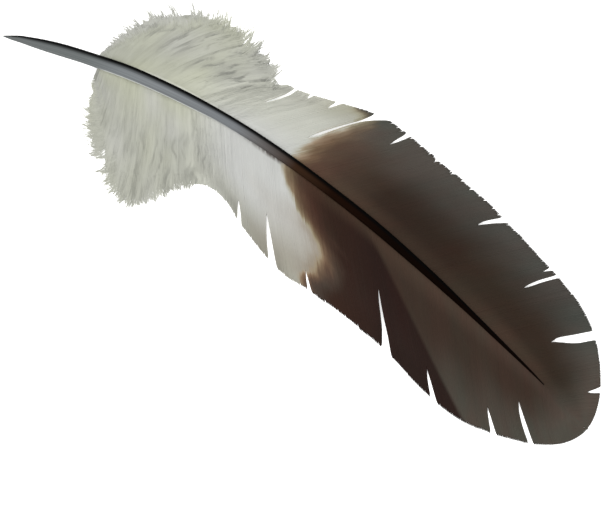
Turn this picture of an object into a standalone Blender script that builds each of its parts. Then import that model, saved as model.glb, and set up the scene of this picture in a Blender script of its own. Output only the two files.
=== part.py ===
# Eagle tail feather, lying on a table with its outer face up.
# Units are metres, +Z is up. X runs from the quill's point to the vane's tip,
# and +Y is the side of the wide vane.

import math
import random

import bmesh
import bpy
import numpy as np
from mathutils import Vector

MM = 0.001

# Driving dimensions, in millimetres in the feather's own frame, which starts at the quill's point.
# A place on the feather is a station, the distance along the shaft, and a reach along a barb,
# 0 at the shaft and 1 at the edge.
# The shaft's middle line is one Bezier curve, given by its two ends and two handles
SHAFT_LINE = ((0, 0, 0.2), (85, 39, 13), (205, 30.4, 17), (330, 0, -3))
# Station, the shaft's thickness there, and how far it sits aside from its line
SHAFT = (
    (0, 0.5, 0), (4, 2.0, -0.1), (8, 3.2, 0), (12, 4.0, -0.15), (20, 5.3, -0.35), (27, 5.9, -0.4),
    (40, 6.25, -0.2), (55, 6.5, 0), (75, 6.25, 0.3), (95, 5.8, 0.65), (110, 5.25, 0.8),
    (130, 5.1, 0.7), (165, 5.0, 0.2), (200, 4.9, 0), (220, 4.5, -0.25), (240, 3.8, -0.4),
    (260, 2.7, -0.5), (280, 1.9, -0.45), (300, 1.0, -0.1), (309, 0.7, 0), (335.3, 0.6, 0))
# Each row is a barb: its station, its angle to the shaft in degrees, and the x and y of its tip
# on the feather's outline
WIDE_BARBS = (
    (47, 84, 42.5, 17), (51.5, 78, 51, 43), (56, 73, 65.4, 57.8), (63, 68, 82.2, 64.3),
    (72, 63, 96.8, 64.8), (82, 59, 108, 61), (92, 55, 118, 56.5), (100, 52, 125.5, 56.2),
    (108, 51, 132.3, 57.3), (118, 50, 145.3, 61.4), (128, 49, 158.9, 65.8),
    (136.5, 48, 169.6, 68.5), (146, 48, 178.9, 68.7), (158, 50, 189.7, 67.8),
    (172, 52, 202.5, 66.1), (186, 53, 217.1, 64.9), (200, 55, 232.1, 63),
    (212.5, 56, 244.4, 60.5), (232, 58, 261.9, 56.5), (254, 60, 281.7, 51.8),
    (270, 60, 296.3, 47), (286, 60, 308.8, 39.7), (298, 60, 316.4, 32.7),
    (309, 59, 322.6, 25.1), (318, 59, 327.3, 17.7), (324, 55, 329.8, 12.1),
    (329, 47, 331.3, 6.9), (332.5, 37, 331.7, 3.7), (335.3, 25, 331.7, 1.4))
NARROW_BARBS = (
    (47, 75, 44.7, 6), (49.5, 77, 48.5, -4), (54, 76, 60, -19), (61, 73, 75.8, -29.5),
    (70, 69, 91.1, -30), (80, 65, 101.5, -21.5), (90, 61, 110, -11.5), (99, 59, 118, -5.5),
    (107, 58, 127, -5), (117.5, 57, 142.5, -11), (126, 56, 156.4, -15.7),
    (134, 55, 168.5, -18.8), (151, 50, 187.4, -18.9), (170, 46, 211, -20),
    (187, 43, 232.2, -22.3), (203, 42, 250.3, -26.5), (220, 42, 266.1, -29.3),
    (242, 43, 281.4, -29.5), (265.4, 44, 295.9, -26.4), (276, 44, 304.2, -24),
    (287, 44, 312.3, -20.9), (298, 44, 318.3, -17.7), (309, 44, 323.4, -14.1),
    (318, 43, 326.8, -10.7), (324, 39, 329, -7.6), (329, 34, 330.7, -4),
    (332.5, 27, 331.4, -1.6), (335.3, 20, 331.7, 0.2))
# Each split in the vane from its start to the edge: reach, and the stations that it opens between
WIDE_SPLITS = (
    ((0.56, 109.3, 109.3), (0.58, 108.8, 109.5), (0.69, 108.3, 109.3), (0.83, 106.8, 108.1),
     (0.93, 104.8, 106.3), (1, 103.1, 104.9)),
    ((0.88, 114.2, 114.2), (1, 112.6, 113.4)),
    ((0.83, 122.8, 122.8), (0.9, 121.3, 122.4), (1, 119.8, 121.8)),
    ((0.35, 136.8, 136.8), (0.38, 135.8, 137.8), (0.5, 134.9, 137.3), (0.62, 134.8, 136.5),
     (0.71, 134.8, 135.9), (0.81, 135, 136.1), (0.88, 134.8, 137.1), (1, 133.8, 139.9)),
    ((0.79, 154.6, 154.6), (0.87, 153, 154.2), (1, 151.2, 153.6)),
    ((0.745, 212.7, 212.7), (0.8, 211.5, 213), (0.87, 210.8, 213.4), (1, 210.4, 215)),
    ((0.895, 248.8, 248.8), (1, 247.2, 249)),
    ((0.615, 254.3, 254.3), (0.7, 252.7, 254.2), (0.8, 251.8, 253.5), (1, 251, 252.7)),
    ((0.49, 286.2, 286.2), (0.53, 285.3, 286.8), (0.59, 284.8, 287.5), (0.68, 284.9, 289.1),
     (0.79, 285.1, 290), (1, 285, 290)),
    ((0.7, 316.9, 316.9), (0.86, 316.1, 317.6), (1, 315.1, 317.8)))
NARROW_SPLITS = (
    ((0.74, 117.8, 117.8), (0.87, 116.7, 117.9), (1, 115.9, 117.7)),
    ((0.555, 133.1, 133.1), (0.74, 131.5, 133.6), (0.84, 130.8, 133.8), (1, 130.2, 134)),
    ((0.83, 150.2, 150.2), (1, 149.5, 151.5)),
    ((0.475, 193.5, 193.5), (0.6, 191.6, 192.8), (0.7, 190.6, 192.4), (0.82, 189, 192.1),
     (1, 185.3, 190.4)),
    ((0.765, 218.5, 218.5), (0.87, 216.6, 219.7), (1, 215.3, 220.6)),
    ((0.755, 265.3, 265.3), (0.82, 264.5, 266.3), (1, 264.1, 268.7)),
    ((0.51, 287.9, 287.9), (0.6, 287, 288.7), (0.67, 286.5, 289.4), (0.79, 286.3, 290.5),
     (1, 286.9, 291.6)))
WIDE = 1
NARROW = -1
BARBS = {WIDE: WIDE_BARBS, NARROW: NARROW_BARBS}
SPLITS = {WIDE: WIDE_SPLITS, NARROW: NARROW_SPLITS}

VANE_START = 47.0        # station of the first barbs
DOWN_END = 108.0         # station where down gives way to the vane
VANE_END = 335.3
SHAFT_END = 334.5
VANE_THICKNESS = 0.8
SEAT_DEPTH = 0.3         # how much of a thin piece is lost where it lies flat on the table
SEAT_SOFTNESS = 0.5      # how gently it comes down to the table
EDGE_DROP = -3.0         # height that the vane's edges would bend to if the table did not stop them
DROOP_POWER = 1.7        # how late along a barb it bends down
BUNDLES = 27             # pairs of ridge and furrow along the vane, where the barbs cling together
RIDGE_HEIGHT = 0.4
RIDGE_FADE = 3.0         # a ridge is full from a third of the way along the barbs
RAGGED_SHARE = 0.006     # how much shorter every other bundle edge is
LOCKS_PER_SIDE = 23      # of down
LOCK_CROWDING = 1.5      # how much closer the locks grow towards the quill
LOCK_THICKNESS = 6.0     # at a lock's fullest
LOCK_LENGTHS = (-0.05, 0.03)   # how much shorter or longer a lock is than the outline
LOCK_FADE = 12.0         # length over which the locks thin out into the vane
FURROW_SHARE = 0.45      # thickness between two locks over the thickness of a lock
FURROW_REACH = 0.84      # where the down parts between the tips of two locks
SWELL_START = 0.12       # place on a sine's first half where a lock's fullness starts at the shaft
SWELL_SPAN = 0.9
TIP_LIFT = 3.2           # how much higher every other lock ends
REACHES = (0, 0.15, 0.38, 0.62, 0.84, 1)   # places along each barb that carry a vertex
QUILL_STATIONS = (0, 3, 6, 10, 15, 21, 28, 36)
SHAFT_SPACING = 9.5      # between the shaft's rings past the quill
CUTTER_HEIGHT = 20.0
CUTTER_REACH = 1.1       # a split's cutter runs this far, past the edge
LINE_STEP = 0.001        # on the curve's own parameter, to read the shaft's heading


def smooth_table(rows, column, x):
    """Read one column of a table at x, along a smooth curve through its rows."""
    xs = np.array([row[0] for row in rows], float)
    ys = np.array([row[column] for row in rows], float)
    gap = np.diff(xs)
    slope = np.diff(ys) / gap
    tangent = np.empty_like(ys)
    tangent[0] = slope[0]
    tangent[-1] = slope[-1]
    tangent[1:-1] = (slope[:-1] * gap[1:] + slope[1:] * gap[:-1]) / (gap[:-1] + gap[1:])
    i = int(np.clip(np.searchsorted(xs, x) - 1, 0, len(gap) - 1))
    t = (x - xs[i]) / gap[i]
    return float(
        (2 * t**3 - 3 * t**2 + 1) * ys[i] + (t**3 - 2 * t**2 + t) * gap[i] * tangent[i]
        + (3 * t**2 - 2 * t**3) * ys[i + 1] + (t**3 - t**2) * gap[i] * tangent[i + 1])


def line_point(t):
    """Point of the shaft's middle line at the curve's own parameter."""
    p = [Vector(v) for v in SHAFT_LINE]
    u = 1 - t
    return p[0] * u**3 + p[1] * 3 * u**2 * t + p[2] * 3 * u * t**2 + p[3] * t**3


STEPS = np.linspace(0, 1, 1001)
FLAT_LINE = np.array([line_point(t).to_2d() for t in STEPS])
FLAT_LENGTH = np.concatenate([[0], np.cumsum(np.hypot(*np.diff(FLAT_LINE, axis=0).T))])


def shaft_at(station):
    """Point of the shaft's line at a station, and its heading in plan there."""
    t = float(np.interp(station, FLAT_LENGTH, STEPS))
    ahead = line_point(min(t + LINE_STEP, 1)) - line_point(max(t - LINE_STEP, 0))
    return line_point(t), math.atan2(ahead.y, ahead.x)


def settled(height, lowest):
    """Let a height settle softly on the lowest value that it may have."""
    over = (height - lowest) / SEAT_SOFTNESS
    return lowest + SEAT_SOFTNESS * float(np.logaddexp(0, over))


def barb_point(side, station, reach):
    """Point in plan on the barb that leaves the shaft at this station, as it lies in the vane."""
    rows = BARBS[side]
    root, heading = shaft_at(station)
    leave = heading + side * math.radians(smooth_table(rows, 1, station))
    tip = Vector((smooth_table(rows, 2, station), smooth_table(rows, 3, station)))
    start = root.to_2d()
    bend = start + Vector((math.cos(leave), math.sin(leave))) * (tip - start).length / 2
    return start * (1 - reach)**2 + bend * 2 * reach * (1 - reach) + tip * reach**2


def vane_height(station, reach, thickness):
    """Middle height of the vane, arched with the shaft and bent down to its edge."""
    root = shaft_at(station)[0].z
    height = root + (min(EDGE_DROP, root) - root) * reach**DROOP_POWER
    return settled(height, thickness / 2 - SEAT_DEPTH)


def add_object(name, mesh, collection, material=None):
    """Make an object from a mesh whose numbers are millimetres."""
    for vertex in mesh.vertices:
        vertex.co *= MM
    if material:
        mesh.materials.append(material)
    made = bpy.data.objects.new(name, mesh)
    collection.objects.link(made)
    return made


def mesh_of_curve(curve, name):
    """Turn a curve into a closed, triangulated mesh."""
    holder = bpy.data.objects.new(name, curve)
    bpy.context.scene.collection.objects.link(holder)
    bpy.context.view_layer.update()
    depsgraph = bpy.context.evaluated_depsgraph_get()
    mesh = bpy.data.meshes.new_from_object(holder.evaluated_get(depsgraph))
    bpy.data.objects.remove(holder)
    bm = bmesh.new()
    bm.from_mesh(mesh)
    bmesh.ops.remove_doubles(bm, verts=bm.verts, dist=MM)
    bmesh.ops.triangulate(bm, faces=bm.faces)
    bmesh.ops.recalc_face_normals(bm, faces=bm.faces)
    bm.to_mesh(mesh)
    bm.free()
    return mesh


def poly_spline(curve, points, cyclic=False):
    """Add a spline of straight runs through points given with a radius each."""
    spline = curve.splines.new("POLY")
    spline.points.add(len(points) - 1)
    for slot, (place, radius) in zip(spline.points, points):
        slot.co = (*place, 1)
        slot.radius = radius
    spline.use_cyclic_u = cyclic


def make_shaft():
    """The horny shaft: a sharp quill, a long bare stem, and a spine that thins out in the vane."""
    curve = bpy.data.curves.new("shaft_line", "CURVE")
    curve.dimensions = "3D"
    curve.bevel_depth = 1
    curve.bevel_resolution = 3
    curve.use_fill_caps = True
    stations = list(QUILL_STATIONS)
    stations += list(np.arange(VANE_START - 1, SHAFT_END - SHAFT_SPACING / 2, SHAFT_SPACING))
    stations.append(SHAFT_END)
    points = []
    for station in stations:
        middle, heading = shaft_at(station)
        radius = smooth_table(SHAFT, 1, station) / 2
        aside = smooth_table(SHAFT, 2, station)
        middle += Vector((-math.sin(heading), math.cos(heading), 0)) * aside
        middle.z = settled(middle.z, radius - SEAT_DEPTH if station < VANE_START else radius)
        points.append((middle, radius))
    poly_spline(curve, points)
    mesh = mesh_of_curve(curve, "shaft")
    for vertex in mesh.vertices:
        vertex.co.z = max(vertex.co.z, 0)
    return mesh


def vane_columns():
    """Stations along the shaft, each with what grows there: a number for a lock, or a bundle edge."""
    columns = []
    for i in range(2 * LOCKS_PER_SIDE):
        share = (i / (2 * LOCKS_PER_SIDE)) ** LOCK_CROWDING
        columns.append((VANE_START + (DOWN_END - VANE_START) * share, i, True))
    for i in range(2 * BUNDLES + 1):
        share = i / (2 * BUNDLES)
        columns.append((DOWN_END + (VANE_END - DOWN_END) * share, i, False))
    return columns


def down_shape(station, i, reach, stretch):
    """Reach, thickness and lift of the down at one place: locks on odd columns, furrows between."""
    fading = min(1, (DOWN_END - station) / LOCK_FADE)
    swell = math.sin(math.pi * min(1, reach * SWELL_SPAN + SWELL_START))
    if i % 2:
        length = 1 + stretch * fading
        fullest = LOCK_THICKNESS * fading
        lift = TIP_LIFT * fading * ((i // 2) % 2) * reach**2
    else:
        length = 1 - (1 - FURROW_REACH) * fading
        fullest = LOCK_THICKNESS * fading * FURROW_SHARE
        lift = 0
    return reach * length, max(fullest * swell, VANE_THICKNESS), lift


def make_vane():
    """Down and vanes as one thin slab over the table, folded into locks and bundles of barbs."""
    dice = random.Random(7)
    columns = vane_columns()
    stretches = {side: [dice.uniform(*LOCK_LENGTHS) for _ in columns] for side in BARBS}
    rows = [-r for r in REACHES[:0:-1]] + list(REACHES)
    bm = bmesh.new()
    bmesh.ops.create_grid(bm, x_segments=len(columns) - 1, y_segments=len(rows) - 1, size=0.5)
    top = bm.verts.layers.float.new("top")
    for vertex in bm.verts:
        column = round((vertex.co.x + 0.5) * (len(columns) - 1))
        row = rows[round((vertex.co.y + 0.5) * (len(rows) - 1))]
        station, i, downy = columns[column]
        side = WIDE if row > 0 else NARROW
        reach = abs(row)
        if downy:
            reach, thickness, lift = down_shape(station, i, reach, stretches[side][column])
        else:
            thickness = VANE_THICKNESS
            lift = RIDGE_HEIGHT * (i % 2) * min(1, reach * RIDGE_FADE)
            reach *= 1 - RAGGED_SHARE * (i % 2)
        flat = barb_point(side, station, reach)
        middle = vane_height(station, reach, thickness)
        belly = max(middle - thickness / 2, 0)
        vertex.co = (flat.x, flat.y, belly + lift * min(1, belly))
        vertex[top] = middle + thickness / 2 + lift
    raised = bmesh.ops.extrude_face_region(bm, geom=bm.faces[:], use_keep_orig=True)
    for vertex in raised["geom"]:
        if isinstance(vertex, bmesh.types.BMVert):
            vertex.co.z = vertex[top]
    bmesh.ops.triangulate(bm, faces=bm.faces)
    bmesh.ops.recalc_face_normals(bm, faces=bm.faces)
    mesh = bpy.data.meshes.new("vane")
    bm.to_mesh(mesh)
    bm.free()
    return mesh


def make_split_cutters():
    """Thin wedges that stand upright through the vane, one for each split."""
    curve = bpy.data.curves.new("split_outlines", "CURVE")
    curve.dimensions = "2D"
    curve.fill_mode = "BOTH"
    curve.extrude = CUTTER_HEIGHT
    for side, splits in SPLITS.items():
        for rows in splits:
            rows = rows + ((CUTTER_REACH, *rows[-1][1:]),)
            near_bank = [barb_point(side, near, reach) for reach, near, far in rows]
            far_bank = [barb_point(side, far, reach) for reach, near, far in rows[:0:-1]]
            outline = [(place.to_3d(), 1) for place in near_bank + far_bank]
            poly_spline(curve, outline, cyclic=True)
    return mesh_of_curve(curve, "split_cutters")


def principled(name, colour, roughness):
    """A plain dull material for the solid."""
    material = bpy.data.materials.new(name)
    material.use_nodes = True
    shader = material.node_tree.nodes["Principled BSDF"]
    shader.inputs["Base Color"].default_value = (*colour, 1)
    shader.inputs["Roughness"].default_value = roughness
    shader.inputs["Metallic"].default_value = 0
    return material


def add_boolean(target, operand, operation, frame):
    """Cut or fuse an operand, which is only a guide and is not itself a part."""
    operand.hide_render = True
    operand.display_type = "WIRE"
    operand.parent = frame
    modifier = target.modifiers.new(operand.name, "BOOLEAN")
    modifier.object = operand
    modifier.operation = operation
    modifier.solver = "EXACT"


def centre_over_table(feather, frame):
    """Move the frame so that the origin is under the middle of the feather's box."""
    bpy.context.view_layer.update()
    shape = feather.evaluated_get(bpy.context.evaluated_depsgraph_get())
    corners = np.array([vertex.co for vertex in shape.to_mesh().vertices])
    middle = (corners.min(axis=0) + corners.max(axis=0)) / 2
    frame.location = (-middle[0], -middle[1], 0)
    print("box", corners.min(axis=0), corners.max(axis=0), "faces", len(shape.data.polygons))


def main():
    for old in list(bpy.data.objects):
        bpy.data.objects.remove(old)
    parts = bpy.data.collections.new("eagle_feather")
    cutters = bpy.data.collections.new("cutters")
    bpy.context.scene.collection.children.link(parts)
    bpy.context.scene.collection.children.link(cutters)

    frame = bpy.data.objects.new("feather_frame", None)
    parts.objects.link(frame)
    brown = principled("feather_keratin", (0.045, 0.031, 0.025), 0.6)
    feather = add_object("feather", make_vane(), parts, brown)
    feather.parent = frame
    add_boolean(feather, add_object("split_cutters", make_split_cutters(), cutters), "DIFFERENCE", frame)
    add_boolean(feather, add_object("shaft", make_shaft(), cutters), "UNION", frame)
    centre_over_table(feather, frame)


main()
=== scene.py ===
import math

import bpy
import numpy as np
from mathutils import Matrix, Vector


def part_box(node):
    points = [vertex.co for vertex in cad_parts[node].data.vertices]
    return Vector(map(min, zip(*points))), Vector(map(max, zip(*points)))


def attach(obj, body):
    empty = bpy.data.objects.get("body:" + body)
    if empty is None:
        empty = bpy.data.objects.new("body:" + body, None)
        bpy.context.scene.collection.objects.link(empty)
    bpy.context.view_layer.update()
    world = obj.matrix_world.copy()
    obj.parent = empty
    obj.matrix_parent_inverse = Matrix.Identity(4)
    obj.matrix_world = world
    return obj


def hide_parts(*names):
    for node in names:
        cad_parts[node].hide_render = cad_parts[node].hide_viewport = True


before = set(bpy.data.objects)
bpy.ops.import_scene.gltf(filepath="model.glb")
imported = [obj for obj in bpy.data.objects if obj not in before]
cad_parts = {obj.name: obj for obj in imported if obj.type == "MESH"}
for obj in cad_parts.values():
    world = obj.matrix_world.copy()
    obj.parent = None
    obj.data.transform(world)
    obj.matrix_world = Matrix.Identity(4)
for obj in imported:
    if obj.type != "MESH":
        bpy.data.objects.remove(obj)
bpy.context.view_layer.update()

# An eagle's tail feather, lying on a table with its outer face up.
# The feather's own measures are millimetres in plan from the quill's point: x runs to the
# vane's tip, y towards the wide vane. A place on it is a station, the distance along the
# shaft, and a reach along a barb, 0 at the shaft and 1 at the edge.

millimetre = 0.001
wide, narrow = 1, -1
upwards = np.array([0.0, 0.0, 1.0])
leastHeight = 0.02      # mm; nothing goes lower than this over the table
low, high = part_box("feather")

featherForm = {
    "shaftLine": [(0, 0, 0.2), (85, 39, 13), (205, 30.4, 17), (330, 0, -3)],
    # station, the shaft's thickness there, and how far it sits aside from its line
    "shaft": [
        (0, 0.4, 0), (4, 2.0, -0.1), (8, 3.2, 0), (12, 4.0, -0.15), (20, 5.3, -0.35),
        (27, 5.9, -0.4), (40, 6.1, -0.38), (49, 6.35, -0.3), (60, 6.6, 0.05), (75, 6.4, 0.2),
        (95, 6.15, 0.42), (110, 5.5, 0.68), (130, 5.2, 0.68), (150, 5.15, 0.42), (165, 5.0, 0.2),
        (200, 4.9, 0), (220, 4.5, -0.25),
        (240, 3.8, -0.4), (260, 2.7, -0.5), (280, 1.9, -0.45), (300, 1.0, -0.1),
        (309, 0.5, 0), (335.3, 0.4, 0)],
    # station, angle to the shaft in degrees, and x and y of the tip of a barb
    "wideBarbs": [
        (47, 84, 42.5, 17), (51.5, 78, 51, 43), (56, 73, 65.4, 57.8), (63, 68, 82.2, 64.3),
        (72, 63, 96.8, 64.8), (82, 59, 108, 61), (92, 55, 118, 56.5), (100, 52, 125.5, 56.2),
        (108, 51, 132.3, 57.3), (118, 50, 145.3, 61.4), (128, 49, 158.9, 65.8),
        (136.5, 48, 169.6, 68.5), (146, 48, 178.9, 68.7), (158, 50, 189.7, 67.8),
        (172, 52, 202.5, 66.1), (186, 53, 217.1, 64.9), (200, 55, 232.1, 63),
        (212.5, 56, 244.4, 60.5), (232, 58, 261.9, 56.5), (254, 60, 281.7, 51.8),
        (270, 60, 296.3, 47), (286, 60, 308.8, 39.7), (298, 60, 316.4, 32.7),
        (309, 59, 322.6, 25.1), (318, 59, 327.3, 17.7), (324, 55, 329.8, 12.1),
        (329, 47, 331.3, 6.9), (332.5, 37, 331.7, 3.7), (335.3, 23, 331.9, -0.6)],
    "narrowBarbs": [
        (47, 75, 46, 7), (49.5, 77, 51.5, -3.5), (54, 76, 61, -16.5), (61, 73, 77, -27),
        (70, 69, 91.5, -29.7), (80, 65, 101.5, -21.5), (90, 61, 110, -11.5), (99, 59, 118, -5.5),
        (107, 58, 127, -5), (117.5, 57, 142.5, -11), (126, 56, 156.4, -15.7),
        (134, 55, 168.5, -18.8), (151, 50, 187.4, -18.9), (170, 46, 211, -20),
        (187, 43, 232.2, -22.3), (203, 42, 250.3, -26.5), (220, 42, 266.1, -29.3),
        (242, 43, 281.4, -29.5), (265.4, 44, 295.9, -26.4), (276, 44, 304.2, -24),
        (287, 44, 312.3, -20.9), (298, 44, 318.3, -17.7), (309, 44, 323.4, -14.1),
        (318, 43, 326.8, -10.7), (324, 39, 329, -7.6), (329, 34, 330.7, -4),
        (332.5, 27, 331.4, -1.6), (335.3, 19, 331.9, 1.2)],
    # each split from its start to the edge: reach, and the stations that it opens between
    "wideSplits": [
        [(0.845, 97.7, 97.7), (0.87, 97.2, 98.8), (0.9, 96.9, 99.5), (1, 96.4, 99.3)],
        [(0.53, 109.3, 109.3), (0.56, 108.9, 109.5), (0.69, 108.3, 109.3),
         (0.83, 106.8, 108.1), (0.93, 104.8, 106.3), (1, 103.1, 104.9)],
        [(0.88, 114.2, 114.2), (1, 113, 113.4)],
        [(0.83, 122.8, 122.8), (0.9, 121.6, 122.2), (1, 120.4, 121.6)],
        [(0.35, 136.8, 136.8), (0.39, 136.3, 137.2), (0.5, 135.5, 136.7), (0.62, 135.2, 136),
         (0.71, 135.1, 135.7), (0.81, 135.2, 135.8), (0.88, 134.9, 136.5), (1, 133.8, 139.9)],
        [(0.79, 154.6, 154.6), (0.87, 153, 154.2), (1, 151.2, 153.6)],
        [(0.955, 172.6, 172.6), (1, 171.2, 172.6)],
        [(0.95, 181.8, 181.8), (1, 180.6, 182)],
        [(0.745, 212.7, 212.7), (0.8, 211.5, 213), (0.87, 211.2, 213.3), (1, 211.3, 214.9)],
        [(0.895, 248.8, 248.8), (1, 247.2, 249)],
        [(0.615, 254.3, 254.3), (0.7, 253, 254), (0.8, 252.1, 253.3), (1, 251.2, 252.5)],
        [(0.49, 286.2, 286.2), (0.53, 285.3, 286.8), (0.59, 284.8, 287.5),
         (0.68, 284.9, 289.1), (0.79, 285.1, 290), (1, 285, 290)],
        [(0.7, 316.9, 316.9), (0.86, 316.1, 317.6), (1, 315.1, 317.8)]],
    "narrowSplits": [
        [(0.74, 117.8, 117.8), (0.87, 116.7, 117.9), (1, 115.9, 117.7)],
        [(0.555, 133.1, 133.1), (0.74, 131.5, 133.6), (0.84, 130.8, 133.8), (1, 130.2, 134)],
        [(0.83, 150.2, 150.2), (1, 149.5, 151.5)],
        [(0.475, 193.5, 193.5), (0.6, 191.6, 192.8), (0.7, 190.6, 192.4),
         (0.82, 189, 192.1), (1, 185.3, 190.4)],
        [(0.765, 218.5, 218.5), (0.87, 216.6, 219.7), (1, 215.3, 220.6)],
        [(0.755, 265.3, 265.3), (0.82, 264.6, 266.1), (1, 264.4, 268.1)],
        [(0.51, 287.9, 287.9), (0.6, 287, 288.7), (0.67, 286.5, 289.4),
         (0.79, 286.5, 290.3), (1, 287.2, 291.2)]],
    "barbHalfWidth": 0.42,  # a split stands open between the sides of its barbs
    "splitOpens": 0.05,     # reach over which it comes to stand open
    "splitPushes": (6, 1.9),    # how far its push is felt, in mm and by its own widest shift
    "splitLifts": (0.5, 0.1),   # how high it lifts the barbs before and after it
    "edgeDrop": -3.0,       # height that the edges would bend to if the table did not stop them
    "droopPower": 1.7,      # how late along a barb it bends down
    "edgeRise": 0.25,       # how much the edges come up again
    "ripples": [(8.5, 0.6), (3.7, 0.25)],   # length over two pi, and share of their height
    "rippleHeight": 0.35,
    "clearance": 0.15,      # least height of a vane's barb over the table
    "start": 47.0,          # station of the first barbs
    "end": 335.3,
    "pointAheadOfBox": 0.1, # from the box's low x to the quill's point
    "wideEdge": 68.83,      # from the feather's own x axis to the box's high y
}


def readTable(rows, column, x):
    # one column of a table at the places x, along a smooth curve through its rows
    table = np.array(rows, float)
    xs, ys = table[:, 0], table[:, column]
    gap = np.diff(xs)
    slope = np.diff(ys) / gap
    tangent = np.empty_like(ys)
    tangent[0], tangent[-1] = slope[0], slope[-1]
    tangent[1:-1] = (slope[:-1] * gap[1:] + slope[1:] * gap[:-1]) / (gap[:-1] + gap[1:])
    i = np.clip(np.searchsorted(xs, x) - 1, 0, len(gap) - 1)
    t = (x - xs[i]) / gap[i]
    return ((2 * t**3 - 3 * t**2 + 1) * ys[i] + (t**3 - 2 * t**2 + t) * gap[i] * tangent[i]
            + (3 * t**2 - 2 * t**3) * ys[i + 1] + (t**3 - t**2) * gap[i] * tangent[i + 1])


def linePoint(t):
    # the shaft's line is one Bezier curve
    a, b, c, d = np.array(featherForm["shaftLine"], float)
    t = np.asarray(t, float)[..., None]
    return a * (1 - t)**3 + b * 3 * (1 - t)**2 * t + c * 3 * (1 - t) * t**2 + d * t**3


lineSteps = np.linspace(0, 1, 2001)
lineLength = np.hypot(*np.diff(linePoint(lineSteps)[:, :2], axis=0).T)
lineLength = np.concatenate([[0], np.cumsum(lineLength)])


def shaftAt(station):
    # a point of the shaft's line, and the direction that it runs in there in plan
    t = np.interp(station, lineLength, lineSteps)
    ahead = linePoint(np.minimum(t + 0.001, 1)) - linePoint(np.maximum(t - 0.001, 0))
    return linePoint(t), np.arctan2(ahead[..., 1], ahead[..., 0])


def between(rows, x):
    # the second column of a table at the places x, along straight lines through its rows
    return np.interp(x, *np.array(rows).T)


def bezier(root, bend, tip, t):
    return root * (1 - t)**2 + bend * 2 * t * (1 - t) + tip * t**2


def settled(height, lowest, softness=0.5):
    # a height settles softly on the lowest value that it may have
    return lowest + softness * np.logaddexp(0, (height - lowest) / softness)


def barbInPlan(side, station, reach):
    # a barb leaves the shaft at its angle and bends to its tip on the feather's outline
    rows = featherForm["wideBarbs" if side == wide else "narrowBarbs"]
    root, heading = shaftAt(station)
    leave = heading + side * np.radians(readTable(rows, 1, station))
    tip = np.stack([readTable(rows, 2, station), readTable(rows, 3, station)], -1)
    root = root[..., :2]
    length = np.linalg.norm(tip - root, axis=-1)[..., None]
    bend = root + np.stack([np.cos(leave), np.sin(leave)], -1) * length / 2
    return bezier(root, bend, tip, reach[..., None])


def giveWay(side, home, reach):
    # how far along the shaft the splits push the barbs rooted beside them, and lift them
    f = featherForm
    shift = np.zeros(np.broadcast(home, reach).shape)
    lift = np.zeros_like(shift)
    least, times = f["splitPushes"]
    for rows in f["wideSplits" if side == wide else "narrowSplits"]:
        reaches, before, after = np.array(rows, float).T
        start = before[0]
        opened = np.clip((reach - reaches[0]) / f["splitOpens"], 0, 1) * f["barbHalfWidth"]
        below = np.interp(reach, reaches, before) - start - opened
        above = np.interp(reach, reaches, after) - start + opened
        influence = least + times * max(np.abs(before - start).max(), np.abs(after - start).max())
        near = np.clip(1 - np.abs(home - start) / influence, 0, 1)
        shift += near**2 * np.where(home < start, below, above)
        outAlong = np.clip((reach - reaches[0]) / (1 - reaches[0]), 0, 1)
        lift += near**3 * outAlong * np.where(home < start, *f["splitLifts"])
    return shift, lift


def vanePoint(side, home, reach, station=None, lowest=featherForm["clearance"]):
    # a point of the vane, arched with the shaft, bent down to its edge and a little uneven
    f = featherForm
    shift, lift = giveWay(side, home, reach)
    station = (home if station is None else station) + shift
    plan = barbInPlan(side, station, reach)
    root = shaftAt(station)[0][..., 2]
    drop = np.minimum(f["edgeDrop"], root)
    height = root + (drop - root) * np.abs(reach)**f["droopPower"]
    (broad, most), (fine, least) = f["ripples"]
    ripple = np.sin(station / broad + side) * most + np.sin(station / fine + 2 * reach) * least
    uneven = lift + f["edgeRise"] + f["rippleHeight"] * ripple * reach**2
    height = settled(height, lowest) + uneven * reach
    return np.concatenate([plan, np.maximum(height, lowest)[..., None]], -1)


# How pieces are made from strands

def unit(vectors):
    return vectors / np.maximum(np.linalg.norm(vectors, axis=-1), 1e-9)[..., None]


def makeStrands(middle, halfWidth, halfHeight, corners=4, tilt=0.0, softness=0.0):
    # many closed strands at once, each a row of flat rings from its root to its tip; softness
    # turns the way that their sides face towards up, so that they shade as one surface
    along = unit(np.gradient(middle, axis=1))
    across = unit(np.cross(upwards, along))
    up = np.cross(along, across)
    turned = across * np.cos(tilt) + up * np.sin(tilt)
    up = up * np.cos(tilt) - across * np.sin(tilt)
    ring, facing = [], []
    for k in range(corners):
        angle = 2 * math.pi * k / corners
        ring.append(middle + turned * (math.cos(angle) * halfWidth)[..., None]
                    + up * (math.sin(angle) * halfHeight)[..., None])
        sideways = turned * math.cos(angle) + up * math.sin(angle)
        facing.append(unit(sideways * (1 - softness) + up * softness))
    count, rings = middle.shape[:2]
    first = (np.arange(count * rings) * corners).reshape(count, rings)
    faces = []
    for k in range(corners):
        n = (k + 1) % corners
        faces.append(np.stack([
            first[:, :-1] + k, first[:, :-1] + n, first[:, 1:] + n, first[:, 1:] + k],
            -1).reshape(-1, 4).tolist())
    faces.append(np.stack([first[:, 0] + k for k in reversed(range(corners))], -1).tolist())
    faces.append(np.stack([first[:, -1] + k for k in range(corners)], -1).tolist())
    points = np.stack(ring, 2).reshape(-1, 3)
    points[:, 2] = np.maximum(points[:, 2], leastHeight)
    return points, sum(faces, []), corners, np.stack(facing, 2).reshape(-1, 3)


def addObject(name, data):
    made = bpy.data.objects.new(name, data)
    bpy.context.scene.collection.objects.link(made)
    return made


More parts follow.
